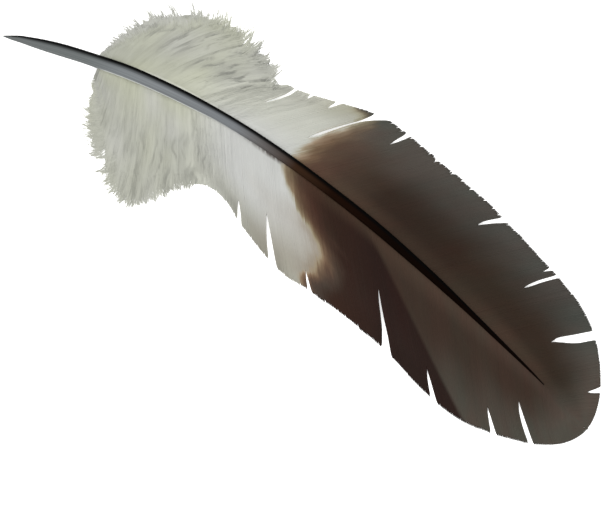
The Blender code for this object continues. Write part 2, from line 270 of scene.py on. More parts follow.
def addPiece(name, strands, material):
    # strands are rows of (points, faces, corners, the way each point faces), and the station,
    # reach and tone of their rings
    offset = np.array([
        low.x + featherForm["pointAheadOfBox"] * millimetre,
        high.y - featherForm["wideEdge"] * millimetre, 0])
    points, faces, facing, labels = [], [], [], {"station": [], "reach": [], "tone": []}
    made = 0
    for (ownPoints, ownFaces, corners, ownFacing), station, reach, tone in strands:
        points.append(ownPoints)
        facing.append(ownFacing)
        faces += ownFaces if made == 0 else [[made + i for i in face] for face in ownFaces]
        made += len(ownPoints)
        shape = np.broadcast(station, reach).shape
        for label, numbers in zip(labels, (station, reach, tone)):
            labels[label].append(np.repeat(np.broadcast_to(numbers, shape).ravel(), corners))
    mesh = bpy.data.meshes.new(name)
    mesh.from_pydata((np.concatenate(points) * millimetre + offset).tolist(), [], faces)
    for label, numbers in labels.items():
        attribute = mesh.attributes.new(label, "FLOAT", "POINT")
        attribute.data.foreach_set("value", np.concatenate(numbers).astype(np.float32))
    mesh.shade_smooth()
    mesh.normals_split_custom_set_from_vertices(np.concatenate(facing).tolist())
    piece = addObject(name, mesh)
    mesh.materials.append(material)
    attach(piece, "root")
    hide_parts("feather")
    print(name, "made,", sum(len(face) - 2 for face in faces), "triangles")
    return piece


# Materials

def linear(hexColour):
    # an sRGB hex colour as the linear colour that Blender works in
    parts = [int(hexColour[i:i + 2], 16) / 255 for i in (1, 3, 5)]
    return [p / 12.92 if p <= 0.04045 else ((p + 0.055) / 1.055)**2.4 for p in parts] + [1]


def add(tree, kind, settings=(), links=(), output=0):
    # a node, its kind followed by its operation if it is a Math node, with its settings, which
    # are sockets by name or number, or properties of the node, and with its links; gives one
    # output, for a Mix node of colours the third
    kind, *operation = kind.split()
    node = tree.nodes.new("ShaderNode" + kind)
    if operation:
        node.operation = operation[0]
    for key, value in dict(settings).items():
        if key in ("stops", "curve"):
            held = node.color_ramp.elements if key == "stops" else node.mapping.curves[0].points
            while len(held) < len(value):
                held.new(0.5) if key == "stops" else held.new(0.5, 0.5)
            for spot, (place, what) in zip(held, value):
                if key == "stops":
                    spot.position, spot.color = place, linear(what)
                else:
                    spot.location = place, what
        elif isinstance(key, int) or key in node.inputs:
            isHex = isinstance(value, str) and value.startswith("#")
            node.inputs[key].default_value = linear(value) if isHex else value
        else:
            setattr(node, key, value)
    for key, source in dict(links).items():
        tree.links.new(source, node.inputs[key])
    return node.outputs[output]


multiplied = {"data_type": "RGBA", "blend_type": "MULTIPLY", 0: 1.0}    # a Mix node's settings


def newMaterial(name, roughness, ior, specular):
    material = bpy.data.materials.new(name)
    material.use_nodes = True
    shader = material.node_tree.nodes["Principled BSDF"]
    shader.inputs["Roughness"].default_value = roughness
    shader.inputs["IOR"].default_value = ior
    shader.inputs["Specular IOR Level"].default_value = specular
    return material, material.node_tree, shader


def placeOnFeather(tree):
    # station in millimetres, reach from -1 at the narrow edge to 1 at the wide one, outward, its
    # size without the sign, and tone, a number from 0 to 1 that each barb has of its own
    place = {}
    for name in ("station", "reach", "tone"):
        place[name] = add(tree, "Attribute", {"attribute_name": name}, output=2)
    place["outward"] = add(tree, "Math ABSOLUTE", {}, {0: place["reach"]})
    return place


def streaks(tree, place, width, length, seed, detail=3.0):
    # noise drawn out along the barbs, its streaks a width in mm and a share of a barb long
    x = add(tree, "Math MULTIPLY", {1: 1 / width}, {0: place["station"]})
    y = add(tree, "Math MULTIPLY", {1: 1 / length}, {0: place["reach"]})
    vector = add(tree, "CombineXYZ", {"Z": seed}, {"X": x, "Y": y})
    return add(tree, "TexNoise", {"Scale": 1.0, "Detail": detail}, {"Vector": vector})


def share(tree, place, *ranges):
    # how much of a finish shows, as the product of ranges. Each is a name in place, where it
    # begins and where it is full, the values there if they aren't 0 and 1, and "soft" if it
    # eases in and out; a name alone is a share that was made before
    product = None
    for name, *ends in ranges:
        factor = place[name]
        if ends:
            numbers = [end for end in ends if end != "soft"]
            settings = {"interpolation_type": "LINEAR" if numbers == ends else "SMOOTHSTEP"}
            settings.update(zip(("From Min", "From Max", "To Min", "To Max"), numbers))
            factor = add(tree, "MapRange", settings, {"Value": factor})
        if product is not None:
            factor = add(tree, "Math MULTIPLY", {}, {0: product, 1: factor})
        product = factor
    return product


def overlay(tree, place, under, over, *ranges):
    # one colour laid over another by a share; a colour is a hex or a node's output
    settings, links = {"data_type": "RGBA"}, {0: share(tree, place, *ranges)}
    for socket, colour in ((6, under), (7, over)):
        (settings if isinstance(colour, str) else links)[socket] = colour
    return add(tree, "Mix", settings, links, 2)


def twoRamps(tree, place, under, over, along, side="isWide"):
    # two ramps of colours along one range, the second laid over the first on one side
    along = share(tree, place, along)
    under, over = (add(tree, "ValToRGB", {"stops": stops}, {"Fac": along}) for stops in (under, over))
    return overlay(tree, place, under, over, (side,))


# In the tones below a layer is a colour and the ranges of its share, and streaks are their
# width, length, seed and detail

whiteTones = {
    "isWide": ("reach", -0.02, 0.02),
    "fromQuill": ("station", 47, 125),
    "alongShaft": [
        (0.0, "#9d9e96"), (0.3, "#a6a79d"), (0.46, "#abaca2"), (0.62, "#b6b7ac"), (0.82, "#b8b9af"),
        (1.0, "#b0b1a8")],
    "besideShaft": ("#adaf9b", ("outward", 0.45, 0.05, 0, 0.7), ("station", 104, 88, 0.4, 1)),
    # painted light: the wide side's roots are painted bright for about 1 mm where they come out from under
    # the shaft, to lift the shadow that the shaft casts on them
    "paintedLightAtRoots": ("#dfe0d5", ("roots", -0.004, -0.034, 0, 0.7), ("isWide",), ("station", 132, 122)),
    "rootsWiden": 0.0014,       # in reach, for each millimetre of station
    "coolPatch": (
        "#b7b8b5", ("station", 88, 118, "soft"), ("reach", 0.5, 0, "soft"),
        ("reach", -0.85, -0.5, 0.3, 1)),
    # painted shade: a soft darker patch where the down gives way to the vane, for the shade between the
    # locks of down
    "paintedHollowShade": ("#8e9086", ("hollowing",), ("outward", 0.3, 0.5)),
    "hollowAlong": ("station", 76, 98),
    "hollowing": [(0.0, 0.0), (0.36, 0.45), (0.55, 0.45), (0.85, 0.0)],
    # each vane's edge, and how much duller it gets; the narrow vane's edge is painted darker than the wide
    # one's, as painted shadow of a second feather under it
    "toBrown": ("station", 100, 150),
    "wideOuter": [(0.0, "#b1afa2"), (0.3, "#b1afa2"), (0.5, "#93917e"), (0.7, "#98968a")],
    "narrowOuter": [
        (0.0, "#8a877a"), (0.3, "#757160"), (0.5, "#7d796c"), (0.7, "#837f73"), (0.82, "#949184"),
        (1.0, "#96938a")],
    "dull": (("outward", 0.5, 1, "soft"), ("station", 104, 128, 0.06, 0.88)),
    # painted shade: greyer creases about 2 mm wide, painted for the shadow lines between locks of down,
    # more of them outwards and on the wide side, that end where the barbs are hooked together
    "crease": (
        "#80817a", ("crease", 0.5, 0.69, 0, 0.85, "soft"), ("reach", -0.02, 0.02, 0.5, 1),
        ("outward", 0.2, 0.65), ("station", 110, 97), ("station", 60, 76, 0.9, 1.35)),
    "creaseStreaks": (2.0, 0.36, 2.0, 2.0),
    "wanderStreaks": (9.0, 0.25, 51.0, 1.0), "wander": 7.0,
}


def whiteOfFeather(tree, place):
    # greyer at the quill, creamy beside the shaft, with painted light on the wide side's roots, cool in one
    # patch, with painted shade where the down gives way to the vane, dull towards the edges, and painted
    # shadow at the narrow one
    t = whiteTones
    place["isWide"] = share(tree, place, t["isWide"])
    widening = {0: place["station"], 2: place["outward"]}
    place["roots"] = add(tree, "Math MULTIPLY_ADD", {1: -t["rootsWiden"]}, widening)
    hollowAlong = share(tree, place, t["hollowAlong"])
    place["hollowing"] = add(tree, "FloatCurve", {"curve": t["hollowing"]}, {"Value": hollowAlong})
    fromQuill = share(tree, place, t["fromQuill"])
    body = add(tree, "ValToRGB", {"stops": t["alongShaft"]}, {"Fac": fromQuill})
    for layer in ("besideShaft", "paintedLightAtRoots", "coolPatch", "paintedHollowShade"):
        body = overlay(tree, place, body, *t[layer])
    outer = twoRamps(tree, place, t["narrowOuter"], t["wideOuter"], t["toBrown"])
    return overlay(tree, place, body, outer, *t["dull"])


# painted shade: greyer creases laid over a white
def paintCreaseShade(tree, place, body):
    t = whiteTones
    wander = streaks(tree, place, *t["wanderStreaks"])
    wandering = {0: wander, 2: place["station"]}
    wander = add(tree, "Math MULTIPLY_ADD", {1: t["wander"]}, wandering)
    place["crease"] = streaks(tree, {**place, "station": wander}, *t["creaseStreaks"])
    return overlay(tree, place, body, *t["crease"])


brownTones = {
    # where the white ends: reach as 0 at the narrow edge and 1 at the wide one, and hundreds
    # of millimetres past station 100
    "whiteEnds": [
        (0.0, 0.486), (0.05, 0.49), (0.1, 0.55), (0.16, 0.597), (0.22, 0.61), (0.28, 0.566),
        (0.34, 0.495), (0.4, 0.48), (0.46, 0.457), (0.5, 0.455), (0.54, 0.457), (0.63, 0.42),
        (0.7, 0.385), (0.86, 0.375), (0.93, 0.36), (0.97, 0.31), (1.0, 0.23)],
    # it wanders by millimetres, in streaks about 7 mm and 1.2 mm wide
    "broadStreaks": (7.0, 0.22, 4.0), "broadSwing": 7.0,
    "fineStreaks": (1.2, 0.25, 9.0), "fineSwing": 5.0,
    # it ends slowly in the wide vane's outer part, where the long split keeps the brown off the
    # barbs on its white side
    "endsSlowly": ("reach", 0.76, 0.9, 1, 0.45, "soft"),
    "longSplit": 136.9, "splitMiddle": 0.58,    # station and reach
    "splitSharpness": 6.0, "splitEnds": ("offSplit", 0.2, 0.32, 0, 60),
    "isWhite": ("past", 0.5, -3.5, "soft"), "isNarrow": ("reach", -0.04, -0.2, "soft"),
    # the brown by millimetres past the end of the white
    "dark": ("past", 3, 15, "soft"), "pastRange": ("past", -4, 96),
    "pastWhite": [
        (0.0, "#a59f8b"), (0.035, "#968c7a"), (0.055, "#807361"), (0.085, "#665543"), (0.13, "#4f3d31"),
        (0.22, "#443128"), (0.34, "#392a21"), (0.48, "#2a1c13"), (0.6, "#261910"), (0.9, "#27190f"),
        (1.0, "#2a1e14")],
    "narrowPastWhite": [
        (0.0, "#a39b86"), (0.028, "#948870"), (0.044, "#7f6d59"), (0.065, "#675241"), (0.1, "#523b2e"),
        (0.16, "#412b22"), (0.26, "#33271f")],
    # paler beside the shaft, nearer to the white and further along
    "along": ("station", 140, 300),
    "wideBeside": [
        (0.0, "#544135"), (0.2, "#453429"), (0.4, "#32251b"), (0.6, "#30241a"), (0.85, "#3a2c22"),
        (1.0, "#36291f")],
    "narrowBeside": [
        (0.0, "#48342a"), (0.12, "#3f2b20"), (0.2, "#39281d"), (0.35, "#3e2f25"), (0.6, "#43352c"),
        (1.0, "#3d3029")],
    "beside": (("outward", 0.26, 0.08, 0, 0.95, "soft"), ("dark",), ("station", 320, 303)),
    # painted sheen: the outer part of each vane is painted greyer, in patches, for the grey-olive sheen of
    # its barbs; and greyer at the round tip
    "wideOuter": [(0.0, "#494743"), (0.45, "#42413e"), (0.85, "#3f3e3b"), (1.0, "#474440")],
    "narrowOuter": [(0.0, "#45403a"), (1.0, "#45403a")],
    "outer": (("outer", 0.35, 0.95, "soft"), ("past", -3, 9, "soft")),
    "sheenStreaks": (26.0, 0.5, 31.0, 1.0), "sheenSwing": 0.3,
    "tip": ("#48423c", ("atTip", 311, 342, "soft")),
    "tipRound": 22.0, "tipSooner": ("reach", 0.4, -0.1, 0, 9, "soft"),
    # painted shadow: the narrow vane is painted deeper brown, the shadow of a second feather under it, up
    # to an edge that slants from one station to another
    "slant": (190.0, 243.0),
    "paintedShadowAlong": ("station", 160, 195), "deep": [(0.0, "#2c180d"), (1.0, "#1e0a05")],
    "paintedShadowWithin": (("inside", -3, 3.5, 0, 0.92, "soft"), ("isNarrow",), ("darkLater",)),
    "darkLater": ("past", 4, 24, "soft"), "outerHalf": (("outward", 0.33, 0.48), ("dark",)),
    "rim": ("#1b1713", ("outward", 0.975, 0.995, 0, 0.6)),      # a thin dark line
    # the narrow vane's white warms over the 40 mm before it ends
    "blush": ("#857764", ("warming",), ("reach", -0.24, -0.5, "soft"), ("reach", -0.95, -0.78)),
    "warmAlong": ("past", -36, 4),
    "warming": [(0.0, 0.0), (0.31, 0.19), (0.56, 0.31), (0.7, 0.44), (0.82, 0.75), (1.0, 0.95)],
    # and its barbs are dark at their roots before it turns brown
    "darkRoots": (
        "#483c34", ("reach", -0.08, -0.045), ("station", 121, 137), ("fine", 0.35, 0.55, 0, 0.9),
        ("reach", 0.01, -0.01), ("isWhite",)),
    # clouds about 15 mm wide in the brown, some redder and some more olive
    "cloudStreaks": (15.0, 0.6, 23.0, 2.0), "clouds": [(0.36, "#fff3ec"), (0.64, "#f3fbf4")],
    # tone from barb to barb, less in the white, and soft streaks along them
    "contrast": ("isWhite", 0, 1, 0.055, 0.03), "gain": 0.87,
    "softStreaks": (9.0, 0.5, 17.0), "softSwing": 0.18,
    "barbuleGap": 0.3, "barbuleDepth": 0.05,    # mm; 0.03 mm apart in life, drawn coarser
}


def makeBarbMaterial():
    # Vane barbs: keratin grown in hooked rows, a dull silk that changes tone from barb to barb.
    # White at the base, brown past a feathered edge, near black along the middle.
    t = brownTones
    material, tree, shader = newMaterial("keratin grown in hooked barbs", 0.6, 1.54, 0.12)
    place = placeOnFeather(tree)
    station, reach, outward = place["station"], place["reach"], place["outward"]
    white = paintCreaseShade(tree, place, whiteOfFeather(tree, place))

    # millimetres past the end of the white; the middle of the streaks' noise is 0.5
    across = add(tree, "Math MULTIPLY_ADD", {1: 0.5, 2: 0.5}, {0: reach})
    ends = add(tree, "FloatCurve", {"curve": t["whiteEnds"]}, {"Value": across})
    start = 100 + (t["broadSwing"] + t["fineSwing"]) / 2
    ends = add(tree, "Math MULTIPLY_ADD", {1: -100.0, 2: -start}, {0: ends})
    past = add(tree, "Math ADD", {}, {0: station, 1: ends})
    broad = streaks(tree, place, *t["broadStreaks"])
    place["fine"] = streaks(tree, place, *t["fineStreaks"])
    for noise, swing in ((broad, t["broadSwing"]), (place["fine"], t["fineSwing"])):
        past = add(tree, "Math MULTIPLY_ADD", {1: swing}, {0: noise, 2: past})
    slowly = share(tree, place, t["endsSlowly"])
    slowly = add(tree, "Math MULTIPLY", {}, {0: past, 1: slowly})
    past = add(tree, "Math MAXIMUM", {}, {0: past, 1: slowly})
    off = add(tree, "Math SUBTRACT", {1: t["splitMiddle"]}, {0: reach})
    place["offSplit"] = add(tree, "Math ABSOLUTE", {}, {0: off})
    sharp, off = t["splitSharpness"], share(tree, place, t["splitEnds"])
    beyond = add(tree, "Math MULTIPLY_ADD", {1: sharp, 2: -sharp * t["longSplit"]}, {0: station})
    beyond = add(tree, "Math ADD", {}, {0: beyond, 1: off})
    place["past"] = add(tree, "Math MINIMUM", {}, {0: past, 1: beyond})
    for name in ("isWhite", "isNarrow", "dark"):
        place[name] = share(tree, place, t[name])

    # the brown and what lies over it, from the shaft outwards and on to the tip
    brown = twoRamps(tree, place, t["pastWhite"], t["narrowPastWhite"], t["pastRange"], "isNarrow")
    pale = twoRamps(tree, place, t["narrowBeside"], t["wideBeside"], t["along"])
    brown = overlay(tree, place, brown, pale, *t["beside"])
    # painted sheen: patches of grey over the outer part of each vane
    patches, swing = streaks(tree, place, *t["sheenStreaks"]), t["sheenSwing"]
    patches = add(tree, "Math MULTIPLY_ADD", {1: swing, 2: -swing / 2}, {0: patches})
    place["outer"] = add(tree, "Math ADD", {}, {0: outward, 1: patches})
    grey = twoRamps(tree, place, t["narrowOuter"], t["wideOuter"], t["along"])
    brown = overlay(tree, place, brown, grey, *t["outer"])
    atTip = add(tree, "Math MULTIPLY_ADD", {1: t["tipRound"]}, {0: outward, 2: station})
    sooner = share(tree, place, t["tipSooner"])
    place["atTip"] = add(tree, "Math ADD", {}, {0: atTip, 1: sooner})
    brown = overlay(tree, place, brown, *t["tip"])

    atShaft, atEdge = t["slant"]
    slant = add(tree, "Math MULTIPLY_ADD", {1: atEdge - atShaft, 2: atShaft}, {0: outward})
    place["inside"] = add(tree, "Math SUBTRACT", {}, {0: slant, 1: station})
    later, outerHalf = share(tree, place, t["darkLater"]), share(tree, place, *t["outerHalf"])
    place["darkLater"] = add(tree, "Math MAXIMUM", {}, {0: later, 1: outerHalf})
    # painted shadow of a second feather, laid over the narrow vane's brown
    deep = add(tree, "ValToRGB", {"stops": t["deep"]}, {"Fac": share(tree, place, t["paintedShadowAlong"])})
    brown = overlay(tree, place, brown, deep, *t["paintedShadowWithin"])
    brown = overlay(tree, place, brown, *t["rim"])
    clouds = streaks(tree, place, *t["cloudStreaks"])
    clouds = add(tree, "ValToRGB", {"stops": t["clouds"]}, {"Fac": clouds})
    brown = add(tree, "Mix", multiplied, {6: brown, 7: clouds}, 2)

    # the white over it all where the white still is
    warmAlong = share(tree, place, t["warmAlong"])
    place["warming"] = add(tree, "FloatCurve", {"curve": t["warming"]}, {"Value": warmAlong})
    white = overlay(tree, place, white, *t["blush"])
    colour = overlay(tree, place, brown, white, ("isWhite",))
    colour = overlay(tree, place, colour, *t["darkRoots"])
    light = share(tree, place, t["contrast"])
    light = add(tree, "Math MULTIPLY_ADD", {2: t["gain"]}, {0: place["tone"], 1: light})
    soft = streaks(tree, place, *t["softStreaks"])
    light = add(tree, "Math MULTIPLY_ADD", {1: t["softSwing"]}, {0: soft, 2: light})
    colour = add(tree, "Mix", multiplied, {6: colour, 7: light}, 2)
    tree.links.new(colour, shader.inputs["Base Color"])

    barbules = {"Scale": 1 / (t["barbuleGap"] * millimetre), "Detail": 2.0}
    barbules = add(tree, "TexNoise", barbules, {"Vector": add(tree, "TexCoord", output=3)})
    relief = {"Strength": 0.15, "Distance": t["barbuleDepth"] * millimetre}
    tree.links.new(add(tree, "Bump", relief, {"Height": barbules}), shader.inputs["Normal"])
    return material


downTones = {
    "outer": ("#a8a99e", ("outward", 0.3, 0.8, 0, 0.85, "soft")),       # paler than the vane's edge
    # patches about 17 mm wide, some lilac and some straw
    "patchStreaks": (17.0, 0.6, 13.0, 1.0),
    "lilac": ("#b3b3b0", ("patch", 0.5, 0.75, 0, 0.6)),
    "straw": ("#aeb09a", ("patch", 0.5, 0.25, 0, 0.55)),
    "loose": ("station", 98, 84),       # none of these where the vane begins
    # single barbs, 0.1 mm wide in life, drawn about 0.6 mm wide so that they show, and the
    # strands that they cling together in, about 4 mm wide; each with how light it gets. The
    # strands' lighter and darker streaks are painted light and shade of their relief
    "barbs": [((0.6, 0.3, 41.0, 1.0), 0.18), ((4.0, 0.4, 61.0, 1.0), 0.2)],
    "toneSwing": 0.05, "gain": 0.755,
}


def makeDownMaterial():
    # Down: loose keratin barbs with no hooks, so a matt off-white, with painted shade in greyer creases
    t = downTones
    material, tree, shader = newMaterial("keratin grown as loose down", 0.85, 1.54, 0.05)
    place = placeOnFeather(tree)
    white = body = whiteOfFeather(tree, place)
    place["patch"] = streaks(tree, place, *t["patchStreaks"])
    for layer in ("outer", "lilac", "straw"):
        body = overlay(tree, place, body, *t[layer])
    body = overlay(tree, place, white, body, t["loose"])
    body = paintCreaseShade(tree, place, body)
    light = add(tree, "Math MULTIPLY_ADD", {1: t["toneSwing"], 2: t["gain"]}, {0: place["tone"]})
    for size, swing in t["barbs"]:
        noise = streaks(tree, place, *size)
        light = add(tree, "Math MULTIPLY_ADD", {1: swing}, {0: noise, 2: light})
    colour = add(tree, "Mix", multiplied, {6: body, 7: light}, 2)
    tree.links.new(colour, shader.inputs["Base Color"])
    return material


hornTones = {
    "along": ("station", 0, 310),
    "alongShaft": [
        (0.0, "#5f6262"), (0.13, "#626666"), (0.19, "#6f7375"), (0.38, "#6c6f72"), (0.425, "#595756"),
        (0.49, "#2e1e13"), (0.56, "#150803"), (0.68, "#070200"), (1.0, "#060100")],
    # growth lines 60 mm long and about 0.5 mm wide
    "growthStreaks": (60.0, 2 / 11, 0.0, 4.0), "growthLight": ("growth", 0.3, 0.7, 0.8, 1.18),
    # painted shade: it is painted darker, to near black, down the flank towards the wide vane; and down the
    # other flank there is a painted highlight, a thin pale rim of painted rim light
    "paintedShadeFlank": ("#020202", ("reach", -0.02, 0.76, "soft")),
    "paintedRimLight": ("#c9cbc8", ("reach", -0.86, -0.92), ("station", 47, 52, 0, 0.85), ("station", 122, 100)),
}


def makeHornMaterial():
    # Shaft: solid keratin, grown smooth like a nail, so a soft gloss. Steel grey at the bare
    # quill, browner where the vane turns brown, near black beyond.
    t = hornTones
    material, tree, shader = newMaterial("keratin grown as smooth horn", 0.45, 1.56, 0.012)
    place = placeOnFeather(tree)
    body = add(tree, "ValToRGB", {"stops": t["alongShaft"]}, {"Fac": share(tree, place, t["along"])})
    place["growth"] = streaks(tree, place, *t["growthStreaks"])
    body = add(tree, "Mix", multiplied, {6: body, 7: share(tree, place, t["growthLight"])}, 2)
    # painted shade down one flank of the shaft, and a painted highlight along the other
    for layer in ("paintedShadeFlank", "paintedRimLight"):
        body = overlay(tree, place, body, *t[layer])
    tree.links.new(body, shader.inputs["Base Color"])
    return material


# The pieces

shaftPiece = {
    "ringSpacing": 1.3, "corners": 28, "ends": 309.0,
    "grooveStart": 60.0, "grooveGrows": 40.0,       # stations
    "grooveDepth": 0.22, "grooveWidth": 0.55,       # shares of its radius, and of a radian
    "flatTop": 0.12,
}


def makeShaft(material):
    # a loft along the arched line: round at the quill, then a little flat on top, grooved below
    s = shaftPiece
    stations = np.arange(0.0, s["ends"] + 0.1, s["ringSpacing"])
    middle, heading = shaftAt(stations)
    radius = readTable(featherForm["shaft"], 1, stations) / 2
    aside = readTable(featherForm["shaft"], 2, stations)
    sideways = np.stack([-np.sin(heading), np.cos(heading), np.zeros_like(heading)], -1)
    middle = middle + sideways * aside[:, None]
    middle[:, 2] = settled(middle[:, 2], radius)
    angle = np.linspace(0, 2 * math.pi, s["corners"], endpoint=False)[None, :]
    inVane = np.clip((stations - s["grooveStart"]) / s["grooveGrows"], 0, 1)[:, None]
    groove = np.exp(-((angle - math.pi) / s["grooveWidth"])**2) * s["grooveDepth"]
    flat = np.cos(angle).clip(0)**6 * s["flatTop"]
    size = radius[:, None] * (1 - inVane * (groove + flat))
    points = (middle[:, None, :] + sideways[:, None, :] * (size * np.sin(angle))[..., None]
              + upwards * (size * np.cos(angle))[..., None])
    points[..., 2] = np.maximum(points[..., 2], leastHeight)
    rings, corners = len(stations), s["corners"]
    index = np.arange(rings * corners).reshape(rings, corners)
    turned = np.roll(index, -1, axis=1)
    faces = np.stack([index[:-1], index[1:], turned[1:], turned[:-1]], -1).reshape(-1, 4).tolist()
    faces.append(index[0].tolist())
    faces.append(index[-1][::-1].tolist())
    flank = np.broadcast_to(np.sin(angle), size.shape).ravel()
    facing = sideways[:, None, :] * np.sin(angle)[..., None] + upwards * np.cos(angle)[..., None]
    strands = [(
        (points.reshape(-1, 3), faces, 1, facing.reshape(-1, 3)),
        np.repeat(stations, corners), flank, 0.5)]
    return addPiece("shaft", strands, material)


vanePiece = {
    "start": 94.0,
    "risen": 100.0,       # station by which its first barbs have come up out of the down
    "pitch": 0.56,        # barbs are about 0.4 mm apart in life, drawn coarser so that they show
    "overlap": 1.5,       # a barb's width over its spacing
    "spacing": (0.2, 1.1),      # limits of the spacing that it is wide by, in mm and in pitches
    "tipWidth": (0.3, 0.9),     # share at the tip, and mm over which it grows by the whole
    "thickness": 0.3, "tipThickness": (0.4, 12.0),
    "shingle": 5.0,       # degrees that each barb leans under the next
    "underShaft": 0.7,    # how far a barb runs in under the shaft
    "softness": 0.3,
    "rings": 24, "tipRings": 1.15,      # how many, and how much they crowd to the tip
    # how unevenly barbs are spaced, lean aside and lie, and end beside the rest of their bundle
    "uneven": 0.05, "aside": 0.04, "height": 0.03, "ownEnd": 0.3,
    "sinks": (0.2, 0.8),  # how deep the first barbs lie in the down
    "bundle": (2.5, 6.5), # widths of the bundles in which barbs cling together at the edge
    "drawn": (80, 200),   # widths and lengths drawn for them, more than there are bundles
    "gather": 0.2,        # how far a bundle's tips draw together
    "gatherLength": 2.0, "gatherRagged": 3.0,   # over how many mm, and less where it ends evenly
    # station, and how unevenly the bundles end there in mm
    "wideRagged": [
        (100, 0.12), (128, 0.15), (145, 0.32), (215, 0.3), (240, 0.14), (285, 0.07), (316, 0.03),
        (336, 0)],
    "narrowRagged": [(100, 0.2), (150, 0.22), (235, 0.1), (285, 0.08), (316, 0.03), (336, 0)],
    # station, and the reach that the wide vane's first barbs end at, beside the down
    "firstEnds": [(94, 0.915), (97.6, 0.845), (97.7, 2)],
}


def makeVane(name, side, material, seed):
    v = vanePiece
    dice = np.random.default_rng(seed)
    home = np.arange(v["start"], featherForm["end"] - 0.1, v["pitch"])
    home = home + dice.uniform(-v["uneven"], v["uneven"], len(home))
    count = len(home)
    widths, lengths = v["drawn"]
    edges = v["start"] + np.cumsum(dice.uniform(*v["bundle"], widths))
    bundle = np.searchsorted(edges, home)
    centre = np.array([home[bundle == b].mean() for b in bundle])
    tip = barbInPlan(side, home, np.ones(count))
    length = np.linalg.norm(tip - shaftAt(home)[0][:, :2], axis=1)
    ragged = between(v["wideRagged" if side == wide else "narrowRagged"], home)
    extra = dice.normal(0, 1, lengths)[bundle] * ragged + dice.normal(0, v["ownEnd"], count) * ragged
    grow = (1 + extra / np.maximum(length, 3))[:, None]
    if side == wide:
        grow = np.minimum(grow, between(v["firstEnds"], home)[:, None])
    t = np.linspace(0, 1, v["rings"])[None, :]
    under = v["underShaft"] / length[:, None]
    reach = ((1 + under) * (1 - (1 - t)**v["tipRings"]) - under) * grow
    fromTip = (grow - reach) * length[:, None]
    home = home[:, None]
    pull = (centre[:, None] - home) * v["gather"] * np.exp(-(fromTip / v["gatherLength"])**2)
    pull = pull * np.minimum(1, ragged * v["gatherRagged"])[:, None]
    station = home + pull + dice.normal(0, v["aside"], (count, 1)) * reach
    middle = vanePoint(side, home, reach, station)
    sunk = np.clip((v["risen"] - home) / (v["risen"] - v["start"]), 0, 1)
    sunk = sunk * dice.uniform(*v["sinks"], (count, 1)) * np.clip(reach, 0, 1)
    sunk = np.minimum(sunk, middle[..., 2] - featherForm["clearance"])
    middle[..., 2] += dice.normal(0, v["height"], (count, 1)) - sunk
    along = unit(np.gradient(middle, axis=1))
    beside = np.gradient(middle, axis=0)
    spacing = np.linalg.norm(beside - along * (beside * along).sum(-1)[..., None], axis=-1)
    least, most = v["spacing"]
    halfWidth = np.clip(spacing, least, most * v["pitch"]) * v["overlap"] / 2
    (narrowed, widens), (thinned, thickens) = v["tipWidth"], v["tipThickness"]
    halfWidth = halfWidth * np.clip(narrowed + fromTip / widens, 0, 1)
    halfHeight = v["thickness"] / 2 * np.clip(thinned + fromTip / thickens, 0, 1)
    strands = makeStrands(
        middle, halfWidth, halfHeight,
        tilt=side * math.radians(v["shingle"]), softness=v["softness"])
    tone = dice.uniform(0, 1, (count, 1))
    return addPiece(name, [(strands, station, np.clip(reach, 0, 1) * side, tone)], material)


